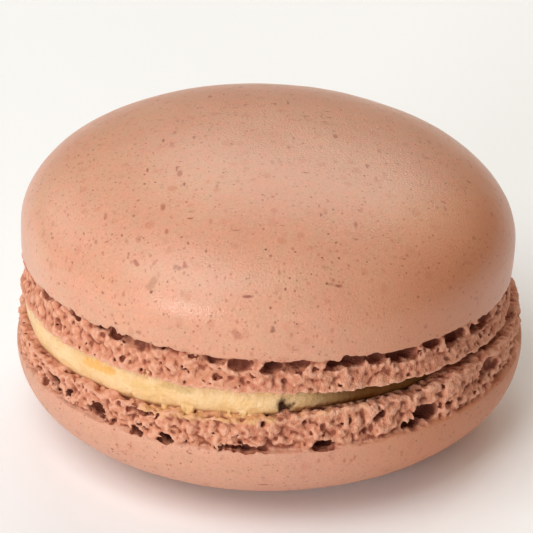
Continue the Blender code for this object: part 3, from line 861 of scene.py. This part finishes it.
# Soft mottling between two colours at three sizes
def mottleGroup():
    tree, given = newTree("mottle", "Shader", [
        ("Vector", "Vector", (0.0, 0.0, 0.0)), ("First", "Color", (1.0, 1.0, 1.0, 1.0)),
        ("Second", "Color", (0.0, 0.0, 0.0, 1.0)), ("Shade", "Float", 0.1)],
        [("Color", "Color"), ("Grain", "Float")])
    wide = noiseOf(tree, given["Vector"], 0.16, 2.0)
    small = noiseOf(tree, given["Vector"], 0.9, 3.0)
    fine = noiseOf(tree, given["Vector"], 4.5, 2.0)
    part = calc(tree, "MULTIPLY_ADD", small, 0.6, calc(tree, "MULTIPLY", wide, 0.4))
    color = mixColor(tree, mapped(tree, part, 0.36, 0.64), given["First"], given["Second"])
    tone = mapped(tree, calc(tree, "ADD", small, fine), 0.6, 1.4, -1.0, 1.0, smooth=False)
    light = calc(tree, "MULTIPLY_ADD", tone, given["Shade"], 1.0)
    addNode(tree, "NodeGroupOutput", values={0: vectorCalc(tree, "SCALE", color, light), 1: fine})
    return tree


def startMaterial(name):
    material = bpy.data.materials.new(name)
    material.use_nodes = True
    tree = material.node_tree
    where = addNode(tree, "ShaderNodeTexCoord").outputs["Object"]
    place = vectorCalc(tree, "SCALE", where, 1.0 / mm)
    return material, tree, tree.nodes["Principled BSDF"], place


def attribute(tree, name):
    return addNode(tree, "ShaderNodeAttribute", {"attribute_name": name}).outputs["Fac"]


def bumped(tree, height, strength, distance):
    return addNode(tree, "ShaderNodeBump", values={
        "Strength": strength, "Distance": distance * mm, "Height": height}).outputs[0]


# Single stains with ragged edges: from and to place, steps, reach, colour, strength
def stained(tree, place, color, stains):
    uneven = noiseOf(tree, place, 1.7, 3.0)
    for start, end, count, size, ink, strength in stains:
        mask = None
        for step in range(count):
            spot = Vector(start).lerp(Vector(end), step / max(1, count - 1))
            away = vectorCalc(tree, "DISTANCE", place, spot)
            mask = away if mask is None else calc(tree, "MINIMUM", mask, away)
        mask = calc(tree, "MULTIPLY_ADD", uneven, 1.6, calc(tree, "DIVIDE", mask, size))
        color = mixColor(tree, calc(tree, "MULTIPLY", mapped(tree, mask, 1.9, 1.1), strength), color, ink)
    return color


def mottled(tree, place, first, second, shade):
    return groupNode(tree, mottle, {
        "Vector": place, "First": (*first, 1.0), "Second": (*second, 1.0), "Shade": shade})


# Baked meringue: a satin speckled skin with painted shade on its right side, and the crumb of the foot,
# with painted shade in its hollows and creases and painted highlights on its tips
def meringue(name, look):
    material, tree, shader, place = startMaterial(name)
    crumb, deep, crease, smear = (attribute(tree, label) for label in ("crumb", "deep", "crease", "smear"))
    skin = mottled(tree, place, look["tan"], look["pink"], 0.12)
    toRight = vectorCalc(tree, "DOT_PRODUCT", place, (0.9, -0.44, 0.0))
    # painted shade: the skin is mixed towards a darker brown on its right side, away from the lamps
    color = mixColor(tree, mapped(tree, toRight, 12.0, 22.0, 0.0, 0.8), skin["Color"], look["rightSideShade"])
    marks = None
    for turn, stretch, scale, reach, share, ink, strength in look["specks"]:
        mask = groupNode(tree, specks, {
            "Vector": place, "Turn": turn, "Stretch": stretch, "Scale": scale,
            "Reach": reach, "Share": share})["Mask"]
        color = mixColor(tree, calc(tree, "MULTIPLY", mask, strength), color, ink)
        marks = mask if marks is None else calc(tree, "MAXIMUM", marks, mask)
    color = stained(tree, place, color, look["stains"])
    inside = mottled(tree, place, look["foot"], look["footPink"], 0.12)["Color"]
    # painted highlight on the crumb's tips and painted shade in its creases, from how far each point lies
    # under its smoothed surround
    inside = mixColor(tree, mapped(tree, crease, -0.015, -0.085, 0.0, 0.55), inside, look["tipHighlight"])
    inside = mixColor(tree, smear, inside, look["smear"])
    inside = mixColor(tree, mapped(tree, crease, 0.0, 0.09, 0.0, 0.9), inside, look["creaseShade"])
    # painted shade: the deeper inside a hole or pore, the darker and redder the crumb
    inside = mixColor(tree, mapped(tree, deep, 0.08, 0.95), inside, look["hollow"])
    tree.links.new(mixColor(tree, crumb, color, inside), shader.inputs["Base Color"])
    roughness = calc(tree, "MULTIPLY_ADD", skin["Grain"], 0.2, look["roughness"])
    tree.links.new(mixValue(tree, crumb, roughness, 0.8), shader.inputs["Roughness"])
    fine = calc(tree, "MULTIPLY", noiseOf(tree, place, 5.2, 1.0), 0.21)
    coarse = calc(tree, "MULTIPLY", noiseOf(tree, place, 6.0, 2.0), 1.2)
    pressed = calc(tree, "SUBTRACT", fine, calc(tree, "MULTIPLY", marks, 0.03))
    height = mixValue(tree, crumb, pressed, coarse)
    tree.links.new(bumped(tree, height, 0.5, 0.35), shader.inputs["Normal"])
    return material


# The colours for the lower edge and for the shade are painted shade
creamLook = {
    "pale": (0.85, 0.585, 0.312), "deep": (0.76, 0.475, 0.21), "lowerEdgeShade": (0.36, 0.14, 0.05),
    "smear": (0.74, 0.45, 0.19), "grains": (0.62, 0.38, 0.12), "shade": (0.10, 0.03, 0.004),
}


def creamMaterial(look):
    material, tree, shader, place = startMaterial("cream")
    smear, level, shade = (attribute(tree, label) for label in ("smear", "level", "shade"))
    color = mottled(tree, place, look["pale"], look["deep"], 0.04)["Color"]
    # painted shade along the cream's lower edge, in the gap where it meets the lower foot
    color = mixColor(tree, mapped(tree, level, -0.72, -1.02, 0.0, 0.75), color, look["lowerEdgeShade"])
    color = mixColor(tree, smear, color, look["smear"])
    color = stained(tree, place, color, creamStains)
    grains = groupNode(tree, specks, {"Vector": place, "Scale": 1.7, "Reach": 0.3, "Share": 0.5})["Mask"]
    color = mixColor(tree, calc(tree, "MULTIPLY", grains, 0.35), color, look["grains"])
    # painted shade on the cream's right side, where its sheen is also turned down
    tree.links.new(mixColor(tree, shade, color, look["shade"]), shader.inputs["Base Color"])
    roughness = mixValue(tree, calc(tree, "MAXIMUM", smear, shade), 0.38, 0.75)
    tree.links.new(roughness, shader.inputs["Roughness"])
    tree.links.new(bumped(tree, noiseOf(tree, place, 2.6, 3.0), 0.6, 0.3), shader.inputs["Normal"])
    tree.links.new(mapped(tree, shade, 0.0, 0.9, 0.3, 0.0), shader.inputs["Specular IOR Level"])
    return material


# Stains on the cream: a glaze, ochre marks and brown crumbs, and two of painted shade, one under the upper
# foot's edge and one nearly black inside the notch
creamStains = (
    ((-15.5, -14.9, 12.7), (-13.4, -16.8, 12.75), 6, 0.72, (0.80, 0.41, 0.10), 0.9),
    ((-11.4, -18.2, 12.4), (-9.6, -19.2, 12.6), 6, 0.5, (0.68, 0.42, 0.14), 0.6),
    # painted shade under the upper foot's edge
    ((-8.8, -19.5, 13.0), (-6.6, -20.4, 12.9), 7, 0.4, (0.50, 0.32, 0.10), 0.5),
    # painted shade: nearly black inside the notch
    ((1.25, -21.0, 11.4), (1.2, -21.1, 12.0), 3, 0.95, (0.045, 0.014, 0.006), 1.0),
    ((2.4, -21.0, 11.6), (8.6, -19.4, 11.9), 14, 0.55, (0.36, 0.14, 0.05), 0.8),
)
speckles = (
    ((0.0, 0.0, 0.0), (1.0, 1.0, 1.0), 1.5, 0.22, 0.7, (0.16, 0.05, 0.03), 1.0),
    ((0.4, 0.2, 0.9), (1.0, 0.35, 1.0), 1.1, 0.22, 0.5, (0.28, 0.07, 0.04), 0.95),
    ((0.1, 0.7, 2.1), (0.3, 1.0, 1.0), 0.9, 0.20, 0.5, (0.28, 0.08, 0.045), 0.95),
    ((0.8, 0.4, 0.5), (1.0, 0.5, 0.8), 0.7, 0.24, 0.8, (0.40, 0.12, 0.07), 0.85),
    ((0.6, 0.1, 0.3), (1.0, 1.0, 1.0), 1.6, 0.3, 0.6, (0.33, 0.10, 0.055), 0.85),
    ((0.2, 0.9, 0.7), (1.0, 1.0, 0.6), 1.6, 0.34, 0.8, (0.45, 0.15, 0.08), 0.85),
    ((0.7, 0.3, 0.1), (1.0, 1.0, 0.7), 0.8, 0.5, 0.7, (0.52, 0.185, 0.10), 0.5),
    ((0.3, 0.6, 0.9), (1.0, 1.0, 1.0), 3.4, 0.4, 0.6, (0.40, 0.13, 0.07), 0.7),
)
skinStains = (
    ((-9.5, -18.25, 22.25), (-9.95, -18.6, 21.7), 4, 0.42, (0.47, 0.22, 0.125), 0.9),     # a pale blister
    ((-9.79, -18.78, 21.42), (-9.79, -18.78, 21.42), 1, 0.22, (0.12, 0.04, 0.025), 0.9),
    ((0.28, -21.74, 19.4), (0.28, -21.74, 19.6), 2, 0.28, (0.25, 0.09, 0.05), 0.8),
    ((-2.84, -21.61, 19.11), (-2.59, -21.59, 18.82), 3, 0.42, (0.42, 0.15, 0.09), 0.7),
    ((-11.2, -16.55, 23.1), (-10.9, -16.75, 22.9), 3, 0.28, (0.36, 0.10, 0.06), 0.8),
    ((-9.35, -17.1, 23.5), (-9.6, -17.25, 23.3), 3, 0.2, (0.36, 0.10, 0.06), 0.7),
    ((-7.06, -17.9, 23.7), (-7.0, -18.0, 23.4), 3, 0.26, (0.40, 0.11, 0.07), 0.8),
    ((-7.75, -18.05, 23.35), (-7.5, -18.15, 23.3), 2, 0.34, (0.36, 0.14, 0.085), 0.75),
)
# Among these colours, those for the crumb's tips, creases and hollows and for the skin's right side are
# painted highlight and painted shade
upperLook = {
    "tan": (0.655, 0.341, 0.213), "pink": (0.635, 0.292, 0.185), "foot": (0.66, 0.28, 0.158),
    "footPink": (0.56, 0.20, 0.112), "tipHighlight": (0.84, 0.455, 0.31), "creaseShade": (0.26, 0.06, 0.028),
    "hollow": (0.18, 0.042, 0.02), "specks": speckles, "roughness": 0.22,
    "rightSideShade": (0.56, 0.20, 0.09), "smear": (0.74, 0.40, 0.17), "stains": skinStains,
}
lowerLook = dict(upperLook, tan=(0.64, 0.325, 0.209), pink=(0.61, 0.29, 0.19), roughness=0.42, stains=())

specks = speckGroup()
mottle = mottleGroup()
foot = footTree()
upperMaterial = meringue("upperMeringue", upperLook)
lowerMaterial = meringue("lowerMeringue", lowerLook)
topShell = makeShell("topShell", upperShell, upperHoles, skinMarks, foot, upperMaterial)
bottomShell = makeShell("bottomShell", lowerShell, lowerHoles, (), foot, lowerMaterial)
filling = makeCream(creamTree(), creamMaterial(creamLook))
for piece, node, slot in (
        (topShell, "top_shell", "upper_shell"), (bottomShell, "bottom_shell", "lower_shell"),
        (filling, "filling", "cream")):
    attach(piece, "root")
    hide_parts(node)


def plainMaterial(name, color, roughness):
    material = bpy.data.materials.new(name)
    material.use_nodes = True
    shader = material.node_tree.nodes["Principled BSDF"]
    shader.inputs["Base Color"].default_value = (*color, 1.0)
    shader.inputs["Roughness"].default_value = roughness
    return material


# Stage, light and camera
view = {
    "elevation": 27.5, "distance": 300.0, "target": (-0.25, 0.0, 14.02),
    "pixelsPerMm": 11.296, "sensor": 36.0,
}


def addStage():
    floorMesh = bpy.data.meshes.new("floor")
    corners = [(2.0 * x, 2.0 * y, 0.0) for x, y in ((-1, -1), (1, -1), (1, 1), (-1, 1))]
    floorMesh.from_pydata(corners, [], [(0, 1, 2, 3)])
    floorMesh.materials.append(plainMaterial("paleFloor", (0.98, 0.98, 0.98), 0.9))
    placed("floor", floorMesh)


def aim(thing, middle, out, distance):
    thing.location = middle + out * distance
    thing.rotation_mode = "QUATERNION"
    thing.rotation_quaternion = (-out).to_track_quat("-Z", "Y")


# Soft boxes half a metre away: azimuth, height angle, width, height, watts
softBoxes = {
    "key": (-46, 55, 0.46, 0.40, 1.79), "lowLeft": (-37, 13, 0.17, 0.10, 0.92),
    "lowFront": (14, 14, 0.14, 0.08, 0.2), "backRight": (128, 38, 0.30, 0.30, 0.38),
    "backLeft": (-120, 24, 0.30, 0.20, 0.3), "topBack": (170, 46, 0.40, 0.30, 0.78),
}
tintedBoxes = {"backRight": (1.0, 0.71, 0.46), "topBack": (0.92, 1.0, 0.97)}


def addLights():
    middle = Vector((0.0, 0.0, 12.0)) * mm
    for name, (azimuth, rise, width, height, power) in softBoxes.items():
        lamp = bpy.data.lights.new(name, "AREA")
        lamp.shape = "RECTANGLE"
        lamp.size = width
        lamp.size_y = height
        lamp.energy = power
        lamp.color = tintedBoxes.get(name, (1.0, 1.0, 1.0))
        up = math.radians(rise)
        out = Vector(onRing(math.cos(up), math.radians(azimuth), math.sin(up)))
        aim(placed(name, lamp), middle, out, 0.5)


def addCamera():
    lens = bpy.data.cameras.new("camera")
    lens.sensor_width = view["sensor"]
    lens.lens = view["pixelsPerMm"] * view["distance"] * view["sensor"] / imageSide
    lens.clip_start = 0.01
    lens.clip_end = 10.0
    up = math.radians(view["elevation"])
    back = Vector((0.0, -math.cos(up), math.sin(up)))
    camera = placed("camera", lens)
    aim(camera, Vector(view["target"]) * mm, back, view["distance"] * mm)
    bpy.context.scene.camera = camera


world = bpy.data.worlds.new("studio")
world.use_nodes = True
world.node_tree.nodes["Background"].inputs[0].default_value = (1.0, 0.9, 0.8, 1.0)
world.node_tree.nodes["Background"].inputs[1].default_value = 0.12
bpy.context.scene.world = world
bpy.context.scene.view_settings.view_transform = "Standard"
addStage()
addLights()
addCamera()
